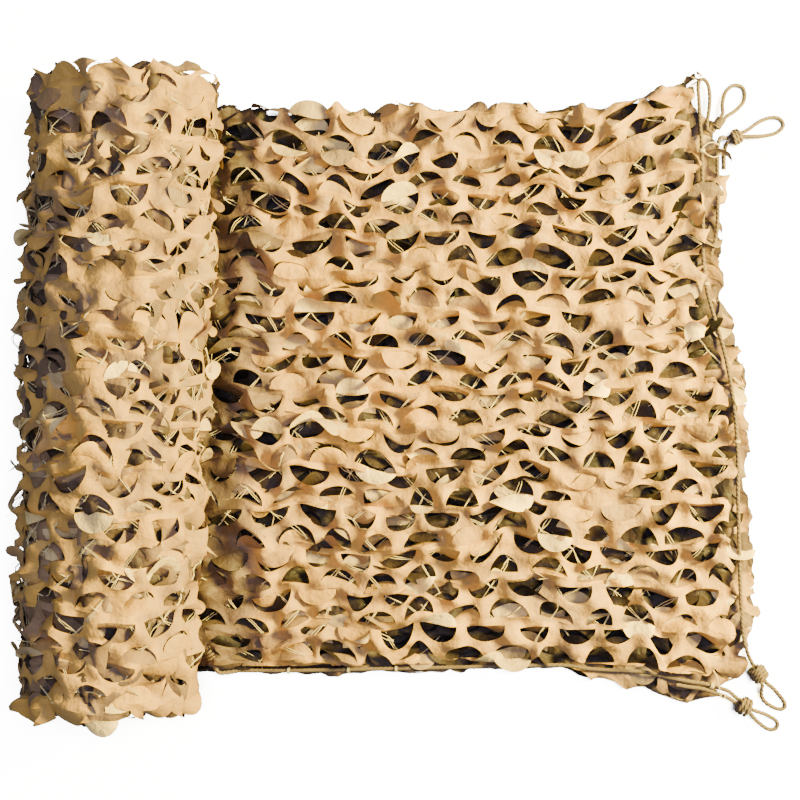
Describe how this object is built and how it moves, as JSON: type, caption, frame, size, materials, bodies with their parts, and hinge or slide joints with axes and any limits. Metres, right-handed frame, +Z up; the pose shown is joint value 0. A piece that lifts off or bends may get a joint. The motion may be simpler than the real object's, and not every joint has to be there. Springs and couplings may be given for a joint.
{
  "type": "camouflage netting",
  "caption": "Die-cut leaf camouflage netting, partly rolled, with a flat folded end, a border rope and rope loops at its corners.",
  "frame": {"origin": "under the middle of the netting, on the surface that it rests on", "axes": "+Z up, the roll's axis along Y, the loose end towards +X"},
  "size_m": [1.1087, 0.966, 0.2549],
  "materials": {
    "net_roll_cloth": "matte",
    "net_cloth": "matte",
    "border_rope": "matte",
    "lashing_cord": "matte"
  },
  "bodies": {
    "root": {"net_roll": "net_roll_cloth", "net_sheet": "net_cloth", "end_rope": "border_rope", "end_rope_lower": "border_rope", "side_rope": "border_rope", "side_rope_return": "border_rope", "side_rope_turn": "border_rope", "rope_tail": "border_rope", "corner_loop_1": "border_rope", "corner_loop_2": "border_rope", "corner_loop_3": "border_rope", "corner_loop_4": "border_rope", "loop_whipping_1": "border_rope", "loop_knot_2": "border_rope", "loop_knot_3": "border_rope", "loop_knot_4": "border_rope", "side_rope_wrap": "border_rope", "rope_lashing_1": "lashing_cord", "rope_lashing_2": "lashing_cord", "rope_lashing_3": "lashing_cord", "rope_lashing_4": "lashing_cord", "rope_lashing_5": "lashing_cord", "rope_lashing_6": "lashing_cord", "rope_lashing_7": "lashing_cord"}
  },
  "joints": []
}
